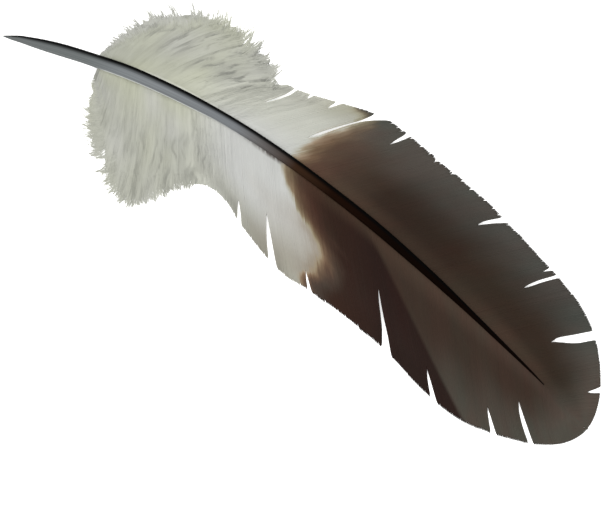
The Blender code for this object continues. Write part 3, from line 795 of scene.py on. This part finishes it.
downPiece = {
    "bedSinks": (94.0, 101.0),   # stations between which its bed sinks under the vane and ends
    "bedSunk": 0.8,              # mm
    "bedPitch": 0.6,             # along the edge
    "bedRings": 18,
    "bedRoot": (1.1, -0.5),      # how much higher it meets the shaft on the wide and narrow side
    "bedEnd": 0.4,               # how unevenly its barbs end
    "bedWaves": (2, 5), "bedWave": 0.12,    # radians along a barb, and height in stations
    "bedWidth": (0.12, 1.1), "bedCover": 0.95, "bedThickness": 0.4, "bedTilt": 0.05,
    "bedTone": (0.4, 0.2),
    "clearance": 0.3,            # least height over the table
    "rise": 0.2,                 # how much higher the down lies at its edge
    "lockRise": (0.1, 0.9),
    "narrowLocks": 0.6,          # the narrow side's locks rise less by this share
    "lockSwing": 1.6,            # how far a lock's barbs lean aside together, in stations
    "swingShown": 0.4,           # share of it that is drawn
    "lockShade": 8.5,            # how much darker it makes the start of the next, in tones
    "shadeLength": 1.9,          # mm over which that fades
    "locksEnd": 111.0,           # station past which the locks don't show
    "fade": 18.0,                # stations over which locks and plumes fade before their end
    "plumes": 2400, "plumeWidth": 0.2, "plumeRings": 8, "plumesEnd": 118.0,
    "plumeCrowd": 1.15,          # how much they crowd to the quill
    "plumeStart": (-0.01, 0.8), "plumeSpan": (0.15, 0.4),   # reach
    "plumeShort": (-1.2, 1),     # how far short of the edge the longest end
    "plumeDrift": 1.8, "plumeWaves": (2, 6), "plumeWave": 0.3,
    "plumeOver": 0.08, "plumeBow": 0.15,    # how far they lie over the bed, and bow up from it
    "strands": 250, "hairsInStrand": 6, "strandHair": 0.2,
    "strandLeast": 0.9,          # mm that they stand past the solid edge between tufts
    "strandGrown": (0.8, 1.75),  # a strand's height as a share of its tuft's
    "strandLean": (-0.1, 0.18), "toMiddle": 0.25,   # by its height, and by its place in the tuft
    "strandFoot": 0.45, "strandTip": 0.09,  # how wide apart its hairs start and end
    "hairGrown": (0.7, 1),       # a hair's height as a share of its strand's
    "fringe": 1500, "fringeHair": 0.15, "hairRings": 7,
    "fringeHeight": 0.45, "fringeEnd": (0.5, 0.8), "fringeLean": 0.4,
    "hairRoot": (0.1, 5.5, 2.2), # mm inwards of the solid edge, how much more, and how crowded
    "rootHeight": (-0.1, 0.4), "endHeight": (0.1, 1.0), "hairBend": 0.3,
    "hairTone": (-2.4, 1.2),     # their own tones, darker on the whole than the down's
    "tuftsEnd": (91.0, 101.0),   # stations between which the tufts thin out
    "softness": 0.85,
    # places are millimetres along the outline from its start at the quill; soft locks meet at
    # the first, the solid down ends outwards of the outline by the second, and each tuft is its
    # place, its width before and after that, and how far it stands outwards of the outline;
    # no hair grows past hairsEnd
    "wide": {
        "hairsEnd": 107.6,
        "joins": [0, 9, 17, 26, 37, 48, 57.8, 63.6, 71.5, 77, 84.2, 91, 97, 104.2, 113, 123],
        "solid": [
            (0, -0.6), (6, -0.6), (12, -1.4), (24, -2.4), (31, -1.7), (35, -1.9), (38, -2.3),
            (42, -2.6), (46, -5.6), (50, -3.2), (54, -1.7), (58, -4.4), (62, -2.2), (66, -1.8),
            (80, -2.2), (82, -3.4), (86, -4.8), (90, -1.8), (98, -0.4), (102, -2.4), (106, -2.7),
            (109.4, -3), (111.2, -1.2), (113, -0.4), (123, -0.2)],
        "tufts": [
            (4, 3, 3, -0.4), (10, 4, 4, 0.9), (14.6, 2, 1.6, 0.9), (18.6, 2.2, 2.4, 3),
            (22.6, 1.6, 1.6, 1.8), (27, 1.2, 1.5, 0), (31, 2.4, 2.4, 2.5), (35, 1.6, 1.6, 2.1),
            (38.6, 1, 1, 1), (41.2, 1.2, 1, 2.8), (43.4, 0.9, 0.9, 1.1), (45.8, 0.9, 0.9, 1.2),
            (50.2, 1.7, 2, 2.2), (54, 2.4, 2.4, 0.9), (57.8, 0.6, 0.6, 1), (61.6, 1.9, 3, 2.4),
            (66.4, 2.4, 3.2, 2.5), (73.8, 2.5, 3, -0.7), (78.8, 3.6, 5, 2.2), (86, 3.4, 4, 1.1),
            (93.8, 3.2, 2.6, 1.2), (100.2, 4.4, 3.4, 2.4), (111.5, 3.2, 3, 0.2)]},
    "narrow": {
        "hairsEnd": 115,
        "joins": [0, 11.8, 18, 24.7, 29.3, 41, 47, 51, 57, 62, 70, 77, 85, 94, 104, 115],
        "solid": [
            (0, -0.6), (6, -2.6), (12, -1.4), (18, -1), (36, -1.4), (38.6, -2.4), (41, -5.6),
            (43.6, -2), (50, -0.2), (58, 1.2), (66, 1.6), (76, -0.6), (90, -1.6), (106, -0.8), (115, -0.2)],
        "tufts": [
            (10.5, 4.5, 1, -0.4), (14.2, 2, 2.6, 1.5), (18, 1.5, 1.5, 1.6), (21.6, 2.6, 3, 2.3),
            (26.5, 2.1, 2, 2.6), (30.8, 1.5, 2.2, 0.7), (34.8, 3.2, 4.2, 1.7), (43.8, 2.6, 3, 2.6),
            (48.6, 2, 2.4, 3), (53, 2.4, 3.2, 2.9), (58.6, 3, 3, 3.8), (63, 2.4, 3.6, 4.3),
            (68.5, 3, 3.5, 2.8), (74, 2.4, 3, 1.6), (79, 2.6, 3.4, 1.4), (85, 2.5, 3, 0.4),
            (90.5, 2.6, 3.6, 1), (97, 3, 3.5, 0), (104, 4, 4, 0)]},
}


def edgeFrame(side, home):
    # a barb's end on the feather's outline, the direction out of the outline there, the barb's
    # length, and the share of a step along the barb that goes outwards
    one = np.ones_like(home)
    end = barbInPlan(side, home, one)
    along = unit(barbInPlan(side, home + 0.2, one) - barbInPlan(side, home - 0.2, one))
    outwards = np.stack([-along[..., 1], along[..., 0]], -1) * side
    lastStep = unit(end - barbInPlan(side, home, one * 0.95))
    length = np.linalg.norm(end - shaftAt(home)[0][..., :2], axis=-1)
    return end, outwards, length, np.clip((lastStep * outwards).sum(-1), 0.45, 1)


def makeEdge(side):
    # the ragged edge: places along the outline, and how far outwards the down stands at each
    d = downPiece
    own = d["wide" if side == wide else "narrow"]
    stations = np.linspace(featherForm["start"] + 0.1, d["plumesEnd"], 600)
    outline = barbInPlan(side, stations, np.ones_like(stations))
    places = np.concatenate([[0], np.cumsum(np.hypot(*np.diff(outline, axis=0).T))])
    solid = between(own["solid"], places)
    past = solid.copy()
    for place, before, after, top in own["tufts"]:
        off = np.abs(places - place) / np.where(places < place, before, after)
        past = np.maximum(past, solid + (top - solid) * np.clip(1 - off**2, 0, 1))
    centres = np.array([tuft[0] for tuft in own["tufts"]])
    return {
        "stations": stations, "places": places, "solid": solid, "past": past, "centres": centres,
        "joins": own["joins"], "hairsEnd": own["hairsEnd"]}


def endsAt(side, home, edge, short):
    # the reach at which a barb of the down ends, so far short of the solid edge, which
    # follows the tufts a little
    length, slope = edgeFrame(side, home)[2:]
    past = 0.85 * edge["solid"] + 0.15 * edge["past"]
    return 1 + (np.interp(home, edge["stations"], past) - short) / (length * slope)


def makeLocks(side, edge, dice):
    # each lock's own height, start and lean
    d = downPiece
    count = len(edge["joins"])
    share = 1 if side == wide else d["narrowLocks"]
    return {
        "rise": dice.uniform(*d["lockRise"], count) * share, "start": dice.uniform(0.1, 0.6, count),
        "swing": dice.normal(0, d["lockSwing"], count)}


def lockShape(home, reach, locks, edge):
    # locks lie over each other like shingles: each rises slowly, drops at once, and shades the
    # start of the next
    d = downPiece
    joins = np.array(edge["joins"])
    place = np.interp(home, edge["stations"], edge["places"])
    lock = np.clip(np.searchsorted(joins, place) - 1, 0, len(joins) - 2)
    phase = np.clip((place - joins[lock]) / (joins[lock + 1] - joins[lock]), 0, 1)
    fade = np.clip((d["locksEnd"] - home) / d["fade"], 0, 1)
    grown = np.clip((reach - locks["start"][lock]) / 0.5, 0, 1)
    rise = locks["rise"][lock] * phase**0.8 * (1 - phase**6) * grown * fade
    swing = locks["swing"][lock] * np.sin(math.pi * phase) * np.clip(reach, 0, 1)**2 * fade
    fromJoin = (place - joins[lock]) * np.clip(reach, 0.2, 1)
    grown = np.clip((reach - locks["start"][np.maximum(lock - 1, 0)]) / 0.3, 0, 1)
    shade = np.exp(-fromJoin / d["shadeLength"]) * locks["rise"][np.maximum(lock - 1, 0)] * grown * fade
    return rise, swing * d["swingShown"], shade * d["lockShade"]


def makeDown(name, side, material, seed):
    d = downPiece
    dice = np.random.default_rng(seed)
    edge = makeEdge(side)
    locks = makeLocks(side, edge, dice)

    # the bed, closed enough that nothing shows through it
    sinkStart, sinkEnd = d["bedSinks"]
    last = np.interp(sinkEnd, edge["stations"], edge["places"])
    home = np.interp(np.arange(0.2, last, d["bedPitch"]), edge["places"], edge["stations"])[:, None]
    count = len(home)
    t = np.linspace(0, 1, d["bedRings"])[None, :]
    rise, swing, shade = lockShape(home, t, locks, edge)
    reach = t * endsAt(side, home[:, 0], edge, dice.normal(0, d["bedEnd"], count))[:, None]
    wave = np.sin(reach * dice.uniform(*d["bedWaves"], (count, 1)) + dice.uniform(0, 6.28, (count, 1)))
    wave = wave * d["bedWave"] * reach
    middle = vanePoint(side, home, reach, home + wave + swing, lowest=d["clearance"])
    root = d["bedRoot"][0 if side == wide else 1]
    middle[..., 2] += rise + d["rise"] * t + root * np.clip(1 - t * 12, 0, 1)
    sunk = d["bedSunk"] * np.clip((home - sinkStart) / (sinkEnd - sinkStart), 0, 1)
    middle[..., 2] -= np.minimum(sunk, middle[..., 2] - 0.25)
    spacing = np.linalg.norm(np.gradient(middle, axis=0), axis=-1)
    halfWidth = np.clip(spacing, *d["bedWidth"]) * d["bedCover"] * np.clip(0.1 + (1 - t) * 12, 0, 1)
    halfHeight = d["bedThickness"] / 2 * np.clip(0.2 + (1 - t) * 4, 0, 1) + 0 * reach
    bed = makeStrands(middle, halfWidth, halfHeight, tilt=d["bedTilt"] * side, softness=d["softness"])
    plain, swings = d["bedTone"]
    tone = plain + swings * dice.uniform(0, 1, (count, 1)) - shade
    strands = [(bed, home + wave, np.clip(reach, 0, 1) * side, tone)]

    # plumes: fine loose barbs over the bed, fewer where the vane begins
    count = (d["plumes"], 1)
    home = dice.uniform(0, 1, count)**d["plumeCrowd"] * edge["places"][-1]
    home = np.interp(home, edge["places"], edge["stations"])
    fade = np.clip((d["plumesEnd"] - home) / d["fade"], 0.12, 1)
    first = dice.uniform(*d["plumeStart"], count)
    short = dice.uniform(*d["plumeShort"], d["plumes"])
    longest = endsAt(side, home[:, 0], edge, short)[:, None] - first
    span = np.minimum(dice.uniform(*d["plumeSpan"], count), longest)
    t = np.linspace(0, 1, d["plumeRings"])[None, :]
    reach = first + span * t
    rise, swing, shade = lockShape(home, reach, locks, edge)
    drift = dice.normal(0, d["plumeDrift"], count) * (reach - first)
    wave = np.sin(t * dice.uniform(*d["plumeWaves"], count) + dice.uniform(0, 6.28, count))
    wave = wave * dice.uniform(0, d["plumeWave"], count)
    station = home + swing + (drift + wave) * fade
    inDown = np.maximum(station, featherForm["start"] + 0.2)
    middle = vanePoint(side, home, reach, inDown, lowest=d["clearance"])
    bow = dice.uniform(0, d["plumeBow"], count) * np.sin(math.pi * (0.1 + 0.75 * t))
    middle[..., 2] += rise + d["rise"] * reach + d["plumeOver"] + bow * fade
    halfWidth = d["plumeWidth"] / 2 * (1 - 0.75 * t) * np.clip(0.3 + t * 6, 0, 1) + 0 * reach
    plumes = makeStrands(middle, halfWidth, halfWidth * 0.5, corners=3, softness=d["softness"])
    tone = dice.uniform(0, 1, count) - shade
    strands.append((plumes, station, np.clip(reach, 0, 1) * side, tone))
    return addPiece(name, strands, material)


def standHairs(side, edge, base, aim, past, width, dice):
    # hairs that stand out of the down's edge: each is rooted near its base, a place along the
    # outline, and ends over its aim, so far outwards of the outline
    d = downPiece
    kept = base < edge["hairsEnd"]
    base, aim, past = base[kept], aim[kept], past[kept]
    total = len(base)
    full = edge["places"][-1]
    homeBase, homeAim = (
        np.interp(np.clip(x, 0.1, full), edge["places"], edge["stations"]) for x in (base, aim))
    solid = np.interp(base, edge["places"], edge["solid"])
    end, outwards, length, slope = edgeFrame(side, homeBase)
    least, deeper, crowd = d["hairRoot"]
    inset = solid - least - deeper * dice.uniform(0, 1, total)**crowd
    inset = np.maximum(inset, -0.8 * length * slope)
    first = 1 + inset / (length * slope)
    root = vanePoint(side, homeBase[:, None], first[:, None], lowest=d["clearance"])[:, 0]
    ahead = vanePoint(side, homeBase[:, None], first[:, None] + 0.03, lowest=d["clearance"])[:, 0] - root
    root[:, :2] = end + outwards * inset[:, None]
    root[:, 2] += dice.uniform(*d["rootHeight"], total)
    ahead[:, 2] = 0
    end, outwards = edgeFrame(side, homeAim)[:2]
    height = vanePoint(side, homeAim[:, None], np.ones((total, 1)), lowest=d["clearance"])[:, 0, 2]
    height = height + dice.uniform(*d["endHeight"], total)
    end = np.concatenate([end + outwards * past[:, None], height[:, None]], 1)
    outwards = np.concatenate([outwards, np.zeros((total, 1))], 1)
    span = np.linalg.norm(end - root, axis=-1)[:, None]
    bend = root + (0.45 * unit(ahead) + 0.55 * outwards) * span * 0.5
    bend[:, 2] += dice.uniform(0, d["hairBend"], total)
    t = np.linspace(0, 1, d["hairRings"])[None, :]
    middle = bezier(root[:, None], bend[:, None], end[:, None], t[..., None])
    halfWidth = width / 2 * np.clip(0.3 + 3 * t, 0, 1) * (1 - 0.65 * t**4) * np.ones((total, 1))
    hairs = makeStrands(middle, halfWidth, halfWidth * 0.6, corners=3, softness=d["softness"])
    first = first[:, None]
    tone = dice.uniform(*d["hairTone"], (total, 1))
    return hairs, homeBase[:, None] + 0 * t, (first + (1 - first) * t) * side, tone


def makeTufts(name, side, material, seed):
    # the ragged edge: a short fringe all along it, and strands of hairs that make its tufts
    d = downPiece
    dice = np.random.default_rng(seed)
    edge = makeEdge(side)
    thinFrom, thinTo = (np.interp(x, edge["stations"], edge["places"]) for x in d["tuftsEnd"])

    base = dice.uniform(0.2, thinTo, d["fringe"])
    base = base[dice.uniform(0, 1, len(base)) < (thinTo - base) / (thinTo - thinFrom)]
    solid, top = (np.interp(base, edge["places"], edge[line]) for line in ("solid", "past"))
    past = solid + d["fringeHeight"] * (top - solid) + dice.normal(*d["fringeEnd"], len(base))
    aim = base + dice.normal(0, d["fringeLean"], len(base))
    fringe = standHairs(side, edge, base, aim, past, d["fringeHair"], dice)

    # a strand's hairs start wide apart, draw together, and lean towards the middle of their tuft
    count, each = d["strands"], d["hairsInStrand"]
    centre = np.sort(dice.uniform(0.2, thinTo, count * 3))[1::3]
    solid, top = (np.interp(centre, edge["places"], edge[line]) for line in ("solid", "past"))
    height = (top - solid + d["strandLeast"]) * dice.uniform(*d["strandGrown"], count)
    height = height * np.clip((thinTo - centre) / (thinTo - thinFrom), 0.2, 1)
    middles = (edge["centres"][1:] + edge["centres"][:-1]) / 2
    toMiddle = edge["centres"][np.searchsorted(middles, centre)] - centre
    lean = dice.normal(*d["strandLean"], count) * height + d["toMiddle"] * toMiddle
    centre, solid, height, lean = (np.repeat(x, each) for x in (centre, solid, height, lean))
    total = count * each
    base = np.clip(centre + dice.normal(0, d["strandFoot"], total), 0.2, thinTo)
    aim = centre + lean + dice.normal(0, d["strandTip"], total)
    past = solid + height * dice.uniform(*d["hairGrown"], total)
    strands = standHairs(side, edge, base, aim, past, d["strandHair"], dice)
    tufts = addPiece(name, [fringe, strands], material)
    # light passes between hairs so fine, so they keep none of it off each other or the down
    tufts.visible_shadow = False
    tufts.visible_diffuse = False
    return tufts


barbs = makeBarbMaterial()
down = makeDownMaterial()
horn = makeHornMaterial()
print("materials made")
makeShaft(horn)
makeVane("wide_vane", wide, barbs, 3)
makeVane("narrow_vane", narrow, barbs, 5)
makeDown("wide_down", wide, down, 8)
makeDown("narrow_down", narrow, down, 13)
makeTufts("wide_tufts", wide, down, 21)
makeTufts("narrow_tufts", narrow, down, 34)
print("feather made")

# Table, light and camera

tableTop = {"size": 16.0, "paint": "#fbfbf9", "shade": "#f8f8f6", "mottleSize": 6.0, "glow": 0.6}


def makeTable():
    # opal acrylic lit from behind, so that hardly any shadow lies on its matt white
    material, tree, shader = newMaterial("sanded opal acrylic lit from behind", 0.9, 1.49, 0.3)
    shader.inputs["Emission Color"].default_value = (1, 1, 1, 1)
    shader.inputs["Emission Strength"].default_value = tableTop["glow"]
    place = add(tree, "TexCoord", output=3)
    mottle = add(tree, "TexNoise", {"Scale": 1 / (tableTop["mottleSize"] * millimetre)}, {"Vector": place})
    tints = {"data_type": "RGBA", 6: tableTop["paint"], 7: tableTop["shade"]}
    colour = add(tree, "Mix", tints, {0: mottle}, 2)
    tree.links.new(colour, shader.inputs["Base Color"])
    half = tableTop["size"] / 2
    mesh = bpy.data.meshes.new("table")
    corners = [(-half, -half, 0), (half, -half, 0), (half, half, 0), (-half, half, 0)]
    mesh.from_pydata(corners, [], [(0, 1, 2, 3)])
    table = addObject("table", mesh)
    mesh.materials.append(material)


studio = {
    "surround": 1.0,
    # place in metres, size in metres, power in watts
    "lamps": [((-0.9, 0.5, 1.3), 0.9, 7.0), ((0.8, -0.9, 1.4), 1.2, 7.5), ((0.5, 1.1, 1.5), 1.0, 3.0)],
}


def makeLight():
    world = bpy.data.worlds.new("studio")
    bpy.context.scene.world = world
    world.use_nodes = True
    background = world.node_tree.nodes["Background"]
    background.inputs["Color"].default_value = (1, 1, 1, 1)
    background.inputs["Strength"].default_value = studio["surround"]
    for number, (place, size, power) in enumerate(studio["lamps"]):
        lamp = bpy.data.lights.new(f"softbox_{number}", "AREA")
        lamp.size = size
        lamp.energy = power
        holder = addObject(lamp.name, lamp)
        holder.location = place
        holder.rotation_euler = (-holder.location).to_track_quat("-Z", "Y").to_euler()
    bpy.context.scene.view_settings.view_transform = "Standard"


photoFrame = {
    "width": 602, "height": 509,        # pixels
    "quillPoint": (3, 36),              # where its point and the vane's end are in the photograph
    "vaneEnd": (584, 427.7),
    "chord": 330.0,                     # millimetres between those two
    "distance": 3.0,                    # metres from the camera down to the table
}


def makeCamera():
    # looks straight down, turned so that the feather lies across the frame as in the photograph
    p = photoFrame
    across = p["vaneEnd"][0] - p["quillPoint"][0]
    downward = p["vaneEnd"][1] - p["quillPoint"][1]
    turn = math.atan2(downward, across)
    scale = p["chord"] / math.hypot(across, downward)
    right = (p["width"] / 2 - p["quillPoint"][0]) * scale
    below = (p["height"] / 2 - p["quillPoint"][1]) * scale
    x = right * math.cos(turn) + below * math.sin(turn)
    y = right * math.sin(turn) - below * math.cos(turn)
    camera = bpy.data.cameras.new("camera")
    camera.sensor_width = 36
    camera.lens = camera.sensor_width * p["distance"] / (p["width"] * scale * millimetre)
    holder = addObject("camera", camera)
    holder.location = (
        low.x + (featherForm["pointAheadOfBox"] + x) * millimetre,
        high.y + (y - featherForm["wideEdge"]) * millimetre, p["distance"])
    holder.rotation_euler = (0, 0, turn)
    bpy.context.scene.camera = holder


makeTable()
makeLight()
makeCamera()
print("table, light and camera made")
